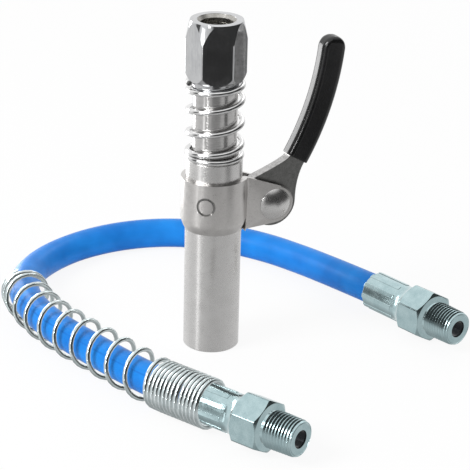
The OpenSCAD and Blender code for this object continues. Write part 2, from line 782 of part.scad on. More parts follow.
module inlet_hex() {
    mouth_depth = (inlet_mouth - inlet_bore) / 2;
    bore = inlet_bore / 2;
    point_depth = (bore - passage_radius) / tan(drill_point);
    color("gainsboro") difference() {
        union() {
            intersection() {
                translate([0, 0, inlet_bottom]) rotate([0, 0, inlet_turn])
                    cylinder(r = inlet_corner, h = inlet_height, $fn = 6);
                rotate_extrude() polygon([
                    [0, inlet_bottom],
                    [inlet_bottom_radius, inlet_bottom],
                    [inlet_corner, inlet_bottom + inlet_bottom_chamfer],
                    [inlet_corner, inlet_top - inlet_top_chamfer],
                    [inlet_top_radius, inlet_top],
                    [0, inlet_top],
                ]);
            }
            translate([0, 0, stem_top]) cylinder(d = inlet_neck_diameter, h = inlet_neck_height);
            translate([0, 0, stem_top - spigot_depth]) cylinder(d = spigot_diameter, h = spigot_depth);
        }
        rotate_extrude() polygon([
            [0, stem_top - spigot_depth - overrun],
            [passage_radius, stem_top - spigot_depth - overrun],
            [passage_radius, bore_floor - point_depth],
            [bore, bore_floor],
            [bore, inlet_top - mouth_depth],
            [bore + mouth_depth + overrun, inlet_top + overrun],
            [0, inlet_top + overrun],
        ]);
    }
}

module return_spring() {
    steps = 16;
    dead = round(return_dead_turns * steps);
    live = round(return_turns * steps);
    heights = [for (i = [-dead:live]) let (t = i / steps * return_turns / (live / steps))
        return_low + return_pitch * (ramp(t, 0, return_open_turns)
            - ramp(t, return_open_turns + return_full_turns, return_close_turns))];
    color("gainsboro")
        upright_coil(heights, return_mean / 2, return_wire, return_start - 360 * dead / steps, steps, 8);
}

module check_spring() {
    steps = 10;
    count = round(check_turns * steps);
    // Flat turns at each end, and turns over which the coil opens and closes
    flat = 0.5;
    ease = 1;
    pitch = (check_high - check_low) / (check_turns - 2 * flat - ease);
    heights = [for (i = [0:count]) let (t = i / steps)
        check_low + pitch * (ramp(t, flat, ease) - ramp(t, check_turns - flat - ease, ease))];
    color("gainsboro") upright_coil(heights, check_mean / 2, check_wire, 0, steps, 5);
}

module jaw_ring() {
    color("gainsboro") rotate([0, 0, ring_split / 2])
        rotate_extrude(angle = 360 - ring_split)
            translate([ring_radius, ring_height]) circle(d = ring_wire, $fn = 24);
}

// Radius of the jaws' cone at a height
function jaw_cone(z) = mouth_radius - cone_slope * z - jaw_clearance;

module jaw(number) {
    groove = ring_groove_height / 2;
    taper_top = cone_height + jaw_taper_height;
    middle = jaw_pitch * (number - 0.5);
    color("darkgray") rotate([0, 0, middle - jaw_span / 2]) rotate_extrude(angle = jaw_span) polygon([
        [lip_radius + lip_chamfer, jaw_bottom],
        [jaw_cone(jaw_bottom) - lip_chamfer / 2, jaw_bottom],
        [jaw_cone(lip_bottom), lip_bottom],
        [jaw_cone(cone_height), cone_height],
        [jaw_shank_radius, taper_top],
        [jaw_shank_radius, ring_height - groove],
        [jaw_shank_radius - ring_groove_depth, ring_height - groove],
        [jaw_shank_radius - ring_groove_depth, ring_height + groove],
        [jaw_shank_radius, ring_height + groove],
        [jaw_shank_radius, hook_top],
        [hook_radius, hook_top],
        [hook_radius, hook_bottom],
        [flange_room_diameter / 2, hook_bottom],
        [flange_room_diameter / 2, flange_room_bottom],
        [head_room_diameter / 2, flange_room_bottom],
        [head_room_diameter / 2, shoulder_height],
        [jaw_hollow_radius, shoulder_height],
        [jaw_hollow_radius, lip_top + jaw_hollow_radius - lip_radius],
        [lip_radius, lip_top],
        [lip_radius, lip_bottom],
    ]);
}

module jaw_1() { jaw(1); }
module jaw_2() { jaw(2); }
module jaw_3() { jaw(3); }
module jaw_4() { jaw(4); }

module nozzle_tip() {
    color("silver") rotate_extrude() polygon([
        [nozzle_hole / 2, seal_bottom + seal_thickness + seal_clearance],
        [seal_diameter / 2 + seal_clearance, seal_bottom + seal_thickness + seal_clearance],
        [seal_diameter / 2 + seal_clearance, snout_bottom],
        [snout_diameter / 2, snout_bottom],
        [snout_diameter / 2, head_bottom],
        [nozzle_head_diameter / 2, head_bottom],
        [nozzle_head_diameter / 2, head_top],
        [tail_radius, head_top],
        [tail_radius, tail_top],
        [nozzle_hole / 2, tail_top],
    ]);
}

module nozzle_seal() {
    color("#26282b") rotate_extrude() polygon([
        [seal_hole / 2, seal_bottom + seal_dish],
        [seal_diameter / 2 - seal_dish, seal_bottom],
        [seal_diameter / 2, seal_bottom],
        [seal_diameter / 2, seal_bottom + seal_thickness],
        [seal_hole / 2, seal_bottom + seal_thickness],
    ]);
}

module check_ball() {
    color("gainsboro") translate([0, 0, ball_height]) sphere(r = ball_radius);
}

module hose() {
    path = smooth_path(route, 2);
    count = len(path);
    sides = hose_sides;
    outer = [for (i = [0:count - 1]) ring_points(path[i], heading_of(path, i), hose_radius, sides)];
    inner = [for (i = [0:count - 1]) ring_points(path[i], heading_of(path, i), hose_bore_radius, sides)];
    last = (count - 1) * sides;
    bore = count * sides;
    color("#1f6fd6") polyhedron(
        points = concat([for (ring = outer, p = ring) p], [for (ring = inner, p = ring) p]),
        faces = concat(
            [for (i = [0:count - 2], face = ring_faces(i, sides)) face],
            [for (i = [0:count - 2], face = ring_faces(count + i, sides)) [face[2], face[1], face[0]]],
            [for (k = [0:sides - 1]) let (n = (k + 1) % sides) [bore + k, bore + n, n, k]],
            [for (k = [0:sides - 1]) let (n = (k + 1) % sides)
                [last + k, last + n, bore + last + n, bore + last + k]]
        )
    );
}

// A fitting along Z, with its thread's end face at the origin
module fitting_form() {
    thread_radius = thread_od / 2;
    corner_radius = corner_diameter / 2;
    ferrule_radius = ferrule_od / 2;
    hexagon_end = thread_length + hexagon_length;
    ferrule_start = hexagon_end + blend_length;
    ridge_length = fitting_length - ferrule_start - 2 * ridge_inset;
    // Depth to which the ridges reach into the ferrule's wall
    ridge_root = (ferrule_radius - socket_radius) / 2;
    drop = corner_radius - ferrule_radius;
    // Radius of the hollow blend that falls from the corners to the ferrule
    blend_radius = (pow(blend_length, 2) + pow(drop, 2)) / (2 * drop);
    blend_half = asin(blend_length / blend_radius);
    bore = fitting_bore / 2;
    seat = insert_od / 2 - insert_barb + insert_clearance;
    difference() {
        union() {
            rotate_extrude() polygon([
                [0, 0],
                [thread_radius - thread_chamfer, 0],
                [thread_radius, thread_lead],
                [thread_radius, thread_length - relief_width],
                [thread_radius - relief_depth, thread_length - relief_width],
                [thread_radius - relief_depth, thread_length + overrun],
                [0, thread_length + overrun],
            ]);
            intersection() {
                translate([0, 0, thread_length])
                    cylinder(r = fitting_flats / 2 / cos(30), h = fitting_length - thread_length, $fn = 6);
                rotate_extrude() polygon(concat(
                    [[0, thread_length], [corner_radius - hexagon_chamfer, thread_length]],
                    [[corner_radius, thread_length + hexagon_lead], [corner_radius, hexagon_end]],
                    [for (i = [1:arc_steps - 1]) let (a = 180 + blend_half * (1 - i / arc_steps))
                        [ferrule_radius + blend_radius + blend_radius * cos(a),
                            ferrule_start + blend_radius * sin(a)]],
                    [[ferrule_radius, ferrule_start]],
                    [[ferrule_radius, fitting_length], [0, fitting_length]]
                ));
            }
            for (k = [0:ridge_count - 1]) rotate([0, 0, 360 / ridge_count * (k + 0.5)])
                translate([ferrule_radius - ridge_root, -ridge_width / 2, ferrule_start + ridge_inset])
                    cube([ridge_root + ridge_height, ridge_width, ridge_length]);
        }
        rotate_extrude() polygon([
            [0, -overrun],
            [bore + fitting_countersink + overrun, -overrun],
            [bore, fitting_countersink],
            [bore, socket_floor - insert_seat],
            [seat, socket_floor - insert_seat],
            [seat, socket_floor],
            [socket_radius, socket_floor],
            [socket_radius, fitting_length + overrun],
            [0, fitting_length + overrun],
        ]);
    }
}

// A barbed tail along Z, seated in the fitting and reaching into the hose
module insert_form() {
    root = insert_od / 2 - insert_barb;
    barb = insert_od / 2;
    // Start of the first barb beyond the seat, and the barbs' pitch and length
    first_barb = 2;
    barb_pitch = 3.5;
    barb_length = 1;
    difference() {
        rotate_extrude() polygon(concat(
            [[0, socket_floor - insert_seat], [root, socket_floor - insert_seat]],
            [for (k = [0:2]) let (s = socket_floor + first_barb + barb_pitch * k)
                each [[root, s], [barb, s], [barb, s + barb_length], [root, s + barb_pitch]]],
            [[root, socket_floor + insert_reach], [0, socket_floor + insert_reach]]
        ));
        translate([0, 0, socket_floor - insert_seat - overrun])
            cylinder(d = insert_bore, h = insert_seat + insert_reach + 2 * overrun);
    }
}

// Lays a part drawn along Z on a fitting's axis, with one corner of its hexagon down
module at_fitting(end, heading) {
    translate(end) rotate([0, 0, heading]) rotate([0, 90, 0]) children();
}

module front_fitting() {
    color("#c9cdcd") at_fitting(front_end, front_heading) fitting_form();
}

module rear_fitting() {
    color("#c9cdcd") at_fitting(rear_end, rear_heading) fitting_form();
}

module front_insert() {
    color("silver") at_fitting(front_end, front_heading) insert_form();
}

module rear_insert() {
    color("silver") at_fitting(rear_end, rear_heading) insert_form();
}

// Distance along the guard's track at a number of turns
function guard_at(t) = guard_start - socket_floor + guard_closed_pitch * t
    + (guard_pitch - guard_closed_pitch) * ramp(t, guard_open_from, guard_ease)
    - (guard_pitch - guard_last_pitch) * ramp(t, guard_open_from, guard_open_turns)
    - (guard_last_pitch - guard_end_pitch) * ramp(t, guard_open_to, guard_ease);

module guard_spring() {
    steps = 16;
    ahead = 1;
    path = [for (i = [0:round(guard_turns * steps)]) let (
            s = guard_at(i / steps),
            centre = at_length(guard_track, guard_run, s),
            behind = at_length(guard_track, guard_run, s - ahead),
            forward = unit(at_length(guard_track, guard_run, s + ahead) - behind),
            side = unit(cross(forward, [0, 0, 1])),
            up = cross(side, forward),
            a = -360 * i / steps
        ) centre + guard_radius * (cos(a) * side + sin(a) * up)];
    color("gainsboro") rod([for (i = [0:len(path) - 1])
        ring_points(path[i], heading_of(path, i), guard_wire / 2, 6)]);
}

sleeve();
lever_bracket();
pivot_rivet();
lever_plate();
lever_grip();
stem_tube();
inlet_hex();
return_spring();
check_spring();
jaw_ring();
jaw_1();
jaw_2();
jaw_3();
jaw_4();
nozzle_tip();
nozzle_seal();
check_ball();
hose();
front_fitting();
rear_fitting();
front_insert();
rear_insert();
guard_spring();
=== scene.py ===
import math

import bpy
from mathutils import Matrix, Vector


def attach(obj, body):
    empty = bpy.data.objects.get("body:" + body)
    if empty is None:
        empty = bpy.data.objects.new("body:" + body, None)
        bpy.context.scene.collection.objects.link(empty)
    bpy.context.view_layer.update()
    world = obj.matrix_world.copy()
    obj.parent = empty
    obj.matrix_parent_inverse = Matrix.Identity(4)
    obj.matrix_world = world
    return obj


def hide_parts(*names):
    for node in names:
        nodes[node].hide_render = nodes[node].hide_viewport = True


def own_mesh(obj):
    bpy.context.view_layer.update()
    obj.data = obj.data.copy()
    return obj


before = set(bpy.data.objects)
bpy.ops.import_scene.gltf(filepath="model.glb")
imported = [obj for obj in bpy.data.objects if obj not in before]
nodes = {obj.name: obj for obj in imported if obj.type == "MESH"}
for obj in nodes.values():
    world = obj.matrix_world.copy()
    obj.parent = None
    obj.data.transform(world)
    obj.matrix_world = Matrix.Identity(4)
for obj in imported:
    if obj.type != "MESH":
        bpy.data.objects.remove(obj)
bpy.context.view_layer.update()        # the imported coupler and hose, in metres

mm = 0.001
scene = bpy.context.scene

# Camera: where the photographer stood, with a long lens and a slight roll
shot = {
    "place": (-205.0, -453.8, 241.1),  # mm
    "azimuth": -25.0,
    "elevation": 22.8,
    "roll": 1.4,
    "lens": 153.2,
    "sensor": 36,
    "clip": (0.01, 20),  # m
}


def addCamera():
    data = bpy.data.cameras.new("photoCamera")
    data.lens = shot["lens"]
    data.sensor_width = shot["sensor"]
    data.clip_start, data.clip_end = shot["clip"]
    camera = bpy.data.objects.new("photoCamera", data)
    scene.collection.objects.link(camera)
    aim = Matrix.Rotation(math.radians(shot["azimuth"]), 4, "Z")
    aim = aim @ Matrix.Rotation(math.radians(90 - shot["elevation"]), 4, "X")
    aim = aim @ Matrix.Rotation(math.radians(shot["roll"]), 4, "Z")
    camera.matrix_world = Matrix.Translation(Vector(shot["place"]) * mm) @ aim
    scene.camera = camera


addCamera()
scene.view_settings.view_transform = "Standard"
print("camera set")


# Modelling helpers: sizes in millimetres, angles in degrees
def startFresh():
    if bpy.context.object and bpy.context.object.mode != "OBJECT":
        bpy.ops.object.mode_set(mode="OBJECT")
    bpy.ops.object.select_all(action="DESELECT")


def pick(piece):
    startFresh()
    piece.select_set(True)
    bpy.context.view_layer.objects.active = piece


def settle(piece):  # puts the piece's place into its mesh
    pick(piece)
    bpy.ops.object.transform_apply(location=True, rotation=True, scale=True)


def editAll(piece):  # edit mode, with the whole mesh selected
    pick(piece)
    bpy.ops.object.mode_set(mode="EDIT")
    bpy.ops.mesh.select_all(action="SELECT")


def facesOut(piece, gap=0.001):
    editAll(piece)
    bpy.ops.mesh.remove_doubles(threshold=gap * mm)
    bpy.ops.mesh.normals_make_consistent(inside=False)
    bpy.ops.object.mode_set(mode="OBJECT")


def applyModifier(piece, kind, **settings):
    modifier = piece.modifiers.new(kind.lower(), kind)
    for name, value in settings.items():
        setattr(modifier, name, value)
    pick(piece)
    bpy.ops.object.modifier_apply(modifier=modifier.name)


def smooth(piece, angle=30):  # rounded edges take up the turn, so that large faces stay flat
    pick(piece)
    bpy.ops.object.shade_smooth_by_angle(angle=math.radians(angle))
    applyModifier(piece, "WEIGHTED_NORMAL", keep_sharp=True)


def softenEdges(piece, width, segments=2, angle=40):
    applyModifier(piece, "BEVEL", width=width * mm, segments=segments, limit_method="ANGLE",
                  angle_limit=math.radians(angle))


def combine(piece, other, way):  # way is DIFFERENCE, UNION or INTERSECT, and uses up the other
    applyModifier(piece, "BOOLEAN", operation=way, solver="EXACT", object=other)
    bpy.data.objects.remove(other)


def copied(piece, name):  # a copy with its own mesh
    other = piece.copy()
    other.data = piece.data.copy()
    other.name = name
    scene.collection.objects.link(other)
    return other


def selectEdges(piece, wanted):
    pick(piece)
    bpy.ops.object.mode_set(mode="EDIT")
    bpy.ops.mesh.select_mode(type="EDGE")
    bpy.ops.mesh.select_all(action="DESELECT")
    bpy.ops.object.mode_set(mode="OBJECT")
    for edge in piece.data.edges:
        a, b = (piece.data.vertices[i].co / mm for i in edge.vertices)
        edge.select = wanted(a, b)
    bpy.ops.object.mode_set(mode="EDIT")


def turned(name, outline, steps=96, hollow=True):  # lathe work, from radius and height
    radius, height = outline[0]
    startFresh()
    bpy.ops.mesh.primitive_circle_add(vertices=steps, radius=radius * mm,
                                      location=(0, 0, height * mm))
    piece = bpy.context.object
    piece.name = name
    bpy.ops.object.mode_set(mode="EDIT")
    bpy.ops.mesh.select_mode(type="EDGE")
    bpy.ops.mesh.select_all(action="SELECT")
    for (r0, z0), (r1, z1) in zip(outline, outline[1:]):
        bpy.ops.mesh.extrude_edges_move(TRANSFORM_OT_translate={"value": (0, 0, (z1 - z0) * mm)})
        bpy.ops.transform.resize(value=(r1 / r0, r1 / r0, 1), center_override=(0, 0, z1 * mm))
    if hollow:
        bpy.ops.mesh.select_all(action="DESELECT")
        bpy.ops.mesh.select_non_manifold()
        bpy.ops.mesh.bridge_edge_loops()
    else:
        bpy.ops.mesh.select_all(action="SELECT")
        bpy.ops.mesh.fill_holes(sides=0)
    settle(piece)
    facesOut(piece)
    return piece


def block(name, low, high):
    startFresh()
    middle = [(a + b) / 2 * mm for a, b in zip(low, high)]
    bpy.ops.mesh.primitive_cube_add(size=1, location=middle)
    piece = bpy.context.object
    piece.name = name
    piece.scale = [(b - a) * mm for a, b in zip(low, high)]
    settle(piece)
    return piece


def hexagonBar(name, flats, low, high, turn):  # turn is where the first flat looks
    startFresh()
    bpy.ops.mesh.primitive_cylinder_add(
        vertices=6, radius=flats / 2 / math.cos(math.radians(30)) * mm, depth=(high - low) * mm,
        location=(0, 0, (low + high) / 2 * mm), rotation=(0, 0, math.radians(turn - 30)))
    piece = bpy.context.object
    piece.name = name
    settle(piece)
    return piece


def threadRidge(root, height, width, pitch, turns, start, steps=36):  # a winding ridge, crest out
    startFresh()
    quarter = math.radians(90)
    bpy.ops.mesh.primitive_circle_add(vertices=3, radius=1 * mm, rotation=(quarter, quarter, 0))
    ridge = bpy.context.object
    settle(ridge)
    tall, wide = 1.5, 1.732  # of a triangle with a radius of 1
    ridge.scale = (height / tall, 1, width / wide)
    ridge.location = ((root + height / 3) * mm, 0, start * mm)
    settle(ridge)
    applyModifier(ridge, "SCREW", axis="Z", angle=2 * math.pi, screw_offset=pitch * mm,
                  iterations=turns, steps=steps, render_steps=steps)
    editAll(ridge)
    bpy.ops.mesh.fill_holes(sides=0)
    facesOut(ridge)
    return ridge


def smoothPath(points, steps):  # a smooth line through all points
    points = [Vector(p) for p in points]
    ends = [2 * points[0] - points[1]] + points + [2 * points[-1] - points[-2]]
    path = []
    for i in range(len(points) - 1):
        a, b, c, d = ends[i:i + 4]
        for k in range(steps):
            t = k / steps
            path.append((2 * b + (c - a) * t + (2 * a - 5 * b + 4 * c - d) * t * t
                         + (3 * b - a - 3 * c + d) * t ** 3) / 2)
    return path + [points[-1]]


def ramp(x, start, length):  # area under a slope that grows to 1
    if x < start:
        return 0
    return (x - start) ** 2 / (2 * length) if x < start + length else x - start - length / 2


def wireFrom(name, points, radius, sides):  # a round wire or tube along points, as a mesh
    curve = bpy.data.curves.new(name, "CURVE")
    curve.dimensions = "3D"
    curve.bevel_depth = radius * mm
    curve.bevel_resolution = sides
    curve.use_fill_caps = True
    spline = curve.splines.new("POLY")
    spline.points.add(len(points) - 1)
    for spot, point in zip(spline.points, points):
        spot.co = (*(Vector(point) * mm), 1)
    piece = bpy.data.objects.new(name, curve)
    scene.collection.objects.link(piece)
    pick(piece)
    bpy.ops.object.convert(target="MESH")
    piece = bpy.context.object
    facesOut(piece, gap=0.0001)
    smooth(piece, angle=40)
    return piece


# Hose: its line runs from the front fitting's socket round to the rear one's
lay = {
    "frontEnd": (-8.0, -72.0, 7.15), "frontHeading": 117.0,  # each fitting's tip, and its way in
    "rearEnd": (59.5, -32.0, 7.15), "rearHeading": 106.0,
    "socket": 18.7, "mouth": 32.5,  # a fitting's socket, from its tip
    "leadIn": 1, "leadOut": 3,  # straight hose on both sides of the mouth
    "radius": 4.35, "bore": 2.47,
    "steps": 6, "sides": 8, "boreSides": 2,
    "points": [
        (-28.0, -31.0, 6.7), (-31.8, -19.0, 6.1), (-35.4, -7.0, 5.9), (-38.9, 4.8, 5.9),
        (-41.5, 16.6, 5.9), (-42.2, 28.8, 5.9), (-40.2, 40.8, 5.8), (-34.0, 51.6, 5.1),
        (-24.8, 60.3, 4.6), (-13.6, 66.0, 4.4), (-1.2, 68.2, 4.4), (11.2, 66.8, 4.4),
        (22.0, 61.8, 4.4), (30.6, 53.2, 4.5), (37.4, 42.4, 4.9), (42.3, 30.0, 5.5),
        (45.7, 18.2, 6.2), (48.4, 7.2, 6.9),
    ],
}


def onFitting(end, heading, s):
    a = math.radians(heading)
    return Vector(end) + s * Vector((math.cos(a), math.sin(a), 0))


def hoseRoute():
    runs = (lay["socket"], lay["mouth"] - lay["leadIn"], lay["mouth"] + lay["leadOut"])
    front = [onFitting(lay["frontEnd"], lay["frontHeading"], s) for s in runs]
    rear = [onFitting(lay["rearEnd"], lay["rearHeading"], s) for s in reversed(runs)]
    return front + [Vector(p) for p in lay["points"]] + rear


def makeHose():
    path = smoothPath(hoseRoute(), lay["steps"])
    piece = wireFrom("hoseTube", path, lay["radius"], lay["sides"])
    drill = [path[0] * 2 - path[1]] + path[1:-1] + [path[-1] * 2 - path[-2]]  # out at both ends
    combine(piece, wireFrom("hoseBore", drill, lay["bore"], lay["boreSides"]), "DIFFERENCE")
    smooth(piece, angle=40)
    return piece, path


hose, hosePath = makeHose()
print("hose laid")


# Sleeve: ground tube with a slot for the lever's nose
sleeveSize = {
    "outline": [(6.8, 0), (7.35, 0), (7.6, 0.25), (7.6, 53.95), (7.35, 54.2), (6.03, 54.2),
                (6.03, 5.5)],
    "slotLow": (0, -1.75, 36.2), "slotHigh": (15.2, 1.75, 47.0), "steps": 128,
}

# Stem: ground tube with the neck and flange that the jaws hook on, and a slot for the nose
stemSize = {
    "outline": [(2.25, 13.3), (4.2, 13.3), (4.2, 14.7), (3.5, 14.7), (3.5, 17.5), (5.95, 17.5),
                (5.95, 73.6), (4.02, 73.6), (4.02, 66.0), (1.5, 66.0), (1.5, 30.0), (2.25, 30.0)],
    "slotLow": (2.9, -1.75, 41.05), "slotHigh": (11.9, 1.75, 46.6), "steps": 128,
}


def makeSlottedTube(name, s):
    piece = turned(name, s["outline"], s["steps"])
    combine(piece, block("slot", s["slotLow"], s["slotHigh"]), "DIFFERENCE")
    facesOut(piece)
    smooth(piece)
    return piece


# Inlet: hexagon with long turned chamfers, a neck and spigot under it, and a tapped bore
inletSize = {
    "flats": 14.2, "low": 76.0, "high": 92.2, "turn": 39, "edge": 0.3, "edgeSteps": 8,
    "barrel": [(7.08, 76.0), (7.3, 76.3), (7.72, 77.0), (8.12, 77.95), (8.3, 78.9), (8.3, 85.6),
               (8.13, 86.9), (7.82, 88.5), (7.45, 90.4), (7.18, 91.7), (7.02, 92.2)],
    "neck": [(3.8, 66.0), (4.0, 66.3), (4.0, 73.6), (6.05, 73.6), (6.25, 73.8), (6.25, 76.5)],
    "bore": [(1.5, 60), (1.5, 79.5), (4.37, 81.2), (4.37, 91.3), (5.17, 92.15), (5.5, 93)],
    "thread": {"root": 4.25, "height": 0.6, "width": 0.85, "pitch": 0.907, "turns": 9,
               "start": 82.4},
    "boreWall": 5.0, "boreLow": 79, "boreHigh": 92,
}


def makeInlet():
    s = inletSize
    piece = hexagonBar("inletHexagon", s["flats"], s["low"], s["high"], s["turn"])
    tall = (s["high"] - s["low"]) / 2
    selectEdges(piece, lambda a, b: abs(a.z - b.z) > tall)  # the six upright corners
    bpy.ops.mesh.bevel(offset=s["edge"] * mm, segments=s["edgeSteps"])
    bpy.ops.object.mode_set(mode="OBJECT")
    combine(piece, turned("barrel", s["barrel"], hollow=False), "INTERSECT")
    combine(piece, turned("neck", s["neck"], hollow=False), "UNION")
    combine(piece, turned("bore", s["bore"], hollow=False), "DIFFERENCE")
    combine(piece, threadRidge(**s["thread"]), "DIFFERENCE")
    facesOut(piece)
    smooth(piece, angle=10)
    return piece


def inTappedBore(face):
    s, spot = inletSize, face.center / mm
    return spot.xy.length < s["boreWall"] and s["boreLow"] < spot.z < s["boreHigh"]


# Rivet: a shank through lever and ears with a domed head at both ends
rivetSize = {"shank": 2.0, "head": 4.5, "height": 1.8, "ear": 2.9, "edge": 0.12,
             "pivot": (17, 0, 39.2), "segments": 96, "rings": 64}


def makeRivet():
    s = rivetSize
    dome = (s["head"] ** 2 + s["height"] ** 2) / (2 * s["height"])  # radius of the head's ball
    startFresh()
    bpy.ops.mesh.primitive_uv_sphere_add(segments=s["segments"], ring_count=s["rings"],
                                         radius=dome * mm,
                                         location=(0, 0, (s["ear"] + s["height"] - dome) * mm))
    piece = bpy.context.object
    piece.name = "pivotRivet"
    settle(piece)
    editAll(piece)
    bpy.ops.mesh.bisect(plane_co=(0, 0, s["ear"] * mm), plane_no=(0, 0, 1), use_fill=True,
                        clear_inner=True)
    bpy.ops.mesh.select_mode(type="FACE")
    bpy.ops.mesh.inset(thickness=(s["head"] - s["shank"]) * mm)
    bpy.ops.mesh.extrude_region_move(TRANSFORM_OT_translate={"value": (0, 0, -s["ear"] * mm)})
    bpy.ops.mesh.delete(type="FACE")
    bpy.ops.object.mode_set(mode="OBJECT")
    applyModifier(piece, "MIRROR", use_axis=(False, False, True))
    softenEdges(piece, s["edge"], angle=50)
    piece.rotation_euler = (math.radians(90), 0, 0)
    piece.location = Vector(s["pivot"]) * mm
    settle(piece)
    facesOut(piece)
    smooth(piece)
    return piece


# Lever and bracket keep the outlines of their solids, and get the rounded edges of pressed sheet
def pressedCopy(node, name):
    piece = copied(nodes[node], name)
    for key in list(piece.keys()):
        del piece[key]
    piece.parent = None
    facesOut(piece)
    editAll(piece)
    bpy.ops.mesh.dissolve_limited(angle_limit=math.radians(1))
    bpy.ops.object.mode_set(mode="OBJECT")
    return piece


leverSize = {"edge": 0.22, "sideTilt": 0.9}


def makeLever():
    piece = pressedCopy("lever_plate", "leverPlate")
    softenEdges(piece, leverSize["edge"], angle=50)
    facesOut(piece)
    smooth(piece)
    return piece


def onRimHighlight(face):  # all but the lever's two flat sides
    return abs(face.normal.y) < leverSize["sideTilt"]


bracketSize = {
    "edge": 0.16, "earEdge": 0.35, "earEdgeSteps": 3,
    "earFace": 2.9, "flush": 0.02, "earStart": 9.8,  # what counts as an ear's outer face
    "holeReach": 2.5,  # the hole's own edge is nearer to the pivot and keeps the plain rounding
    "swage": [(12, 31.5), (12, 38.5), (8.92, 38.5), (8.84, 37.5), (8.57, 36.3), (8.22, 35.3),
              (7.8, 34.48), (7.8, 31.5)],
    "earsLow": (7.4, -20, 29.5), "earsHigh": (20, 20, 54.5),
    "ringFloor": 8.3, "ringTop": 8.72, "ringsLow": 42, "ringsHigh": 52,
}


def makeBracket():
    s = bracketSize
    piece = pressedCopy("lever_bracket", "leverBracket")
    hole = Vector((rivetSize["pivot"][0], rivetSize["pivot"][2]))

    def onRim(p):  # the ears' outer outline, tumbled rounder than the rest
        return (abs(abs(p.y) - s["earFace"]) < s["flush"] and p.x > s["earStart"]
                and (Vector((p.x, p.z)) - hole).length > s["holeReach"])

    selectEdges(piece, lambda a, b: onRim(a) and onRim(b))
    bpy.ops.mesh.bevel(offset=s["earEdge"] * mm, segments=s["earEdgeSteps"])
    bpy.ops.object.mode_set(mode="OBJECT")
    softenEdges(piece, s["edge"], angle=50)
    cup = turned("cup", s["swage"])  # the band's foot is swaged in to the sleeve
    combine(cup, block("ears", s["earsLow"], s["earsHigh"]), "DIFFERENCE")  # but not the ears
    combine(piece, cup, "DIFFERENCE")
    facesOut(piece)
    smooth(piece)
    return piece


# Faces of the pressed stake rings, which take a painted shade
def inShadedStakeRing(face):
    s, spot = bracketSize, face.center / mm
    return (spot.x < 0 and s["ringsLow"] < spot.z < s["ringsHigh"]
            and s["ringFloor"] < spot.xy.length < s["ringTop"])


# Grip: vinyl dipped over the handle, from its domed tip down the bend to a square-cut end
gripSize = {
    "width": 6.9, "thickness": 4.9, "round": 1.6, "roundSteps": 8,
    "tip": (33.74, 0, 80.82), "tipLean": 6.4, "tipRings": 10, "ringAngle": 8.6,
    "centre": (-42.784, 0, 89.4), "turn": 23.6, "turnSteps": 30, "cut": 0.25, "cutSteps": 3,
}


def makeGrip():
    s = gripSize
    startFresh()
    bpy.ops.mesh.primitive_plane_add(size=1)
    piece = bpy.context.object
    piece.name = "leverGrip"
    piece.scale = (s["width"] * mm, s["thickness"] * mm, 1)
    settle(piece)
    editAll(piece)
    bpy.ops.mesh.bevel(offset=s["round"] * mm, affect="VERTICES", segments=s["roundSteps"])
    reach, flat = s["width"] / 2, s["thickness"] / 2 - s["round"]
    rise, wide, thick = 0, 1, 1
    for ring in range(1, s["tipRings"] + 1):  # the domed tip, ring by ring
        a = math.radians(s["ringAngle"] * ring)
        top = reach * math.sin(a)
        past = max(0, top - reach + s["round"])
        newThick = (flat + math.sqrt(s["round"] ** 2 - past ** 2)) / (s["thickness"] / 2)
        bpy.ops.mesh.extrude_region_move(
            TRANSFORM_OT_translate={"value": (0, 0, (top - rise) * mm)})
        bpy.ops.transform.resize(value=(math.cos(a) / wide, newThick / thick, 1),
                                 center_override=(0, 0, top * mm))
        rise, wide, thick = top, math.cos(a), newThick
    bpy.ops.object.mode_set(mode="OBJECT")
    piece.rotation_euler = (0, math.radians(s["tipLean"]), 0)
    piece.location = Vector(s["tip"]) * mm
    settle(piece)
    foot = max(piece.data.polygons, key=lambda face: face.area).index  # the flat under the tip
    bpy.ops.object.mode_set(mode="EDIT")
    bpy.ops.mesh.select_mode(type="FACE")
    bpy.ops.mesh.select_all(action="DESELECT")
    bpy.ops.object.mode_set(mode="OBJECT")
    piece.data.polygons[foot].select = True
    bpy.ops.object.mode_set(mode="EDIT")
    bpy.ops.mesh.delete(type="ONLY_FACE")
    bpy.ops.mesh.select_mode(type="EDGE")
    bpy.ops.mesh.select_non_manifold()
    bpy.ops.mesh.spin(steps=s["turnSteps"], angle=math.radians(s["turn"]),
                      center=Vector(s["centre"]) * mm, axis=(0, -1, 0))
    bpy.ops.mesh.edge_face_add()
    facesOut(piece)
    softenEdges(piece, s["cut"], s["cutSteps"], angle=60)
    facesOut(piece)
    smooth(piece, angle=35)
    return piece


# Return spring: drawn wire with dead end turns, opening and closing as its solid does
returnSize = {"wire": 0.75, "mean": 7.2, "low": 54.97, "high": 75.23, "dead": 0.5, "open": 1.5,
              "full": 1.64, "close": 1.66, "start": -114, "perTurn": 48, "sides": 5}


def makeReturnSpring():
    s = returnSize
    turns = s["open"] + s["full"] + s["close"]
    pitch = (s["high"] - s["low"]) / (turns - s["open"] / 2 - s["close"] / 2)
    points = []
    for i in range(round((s["dead"] + turns) * s["perTurn"]) + 1):
        t = i / s["perTurn"] - s["dead"]
        a = math.radians(s["start"] + 360 * t)
        height = s["low"] + pitch * (ramp(t, 0, s["open"])
                                     - ramp(t, s["open"] + s["full"], s["close"]))
        points.append((s["mean"] * math.cos(a), s["mean"] * math.sin(a), height))
    return wireFrom("returnSpring", points, s["wire"], s["sides"])


# Guard: closed turns over the ferrule, then open ones that follow the hose
guardSize = {"wire": 0.625, "mean": 6.1, "start": 27.6, "closed": 13.5, "closedPitch": 1.27,
             "open": 9.3, "pitch": 8.0, "lastPitch": 6.6, "end": 1.9, "endPitch": 1.5,
             "ease": 0.1, "lift": 6.755, "look": 1, "trackSteps": 12, "perTurn": 24,
             "sides": 3}


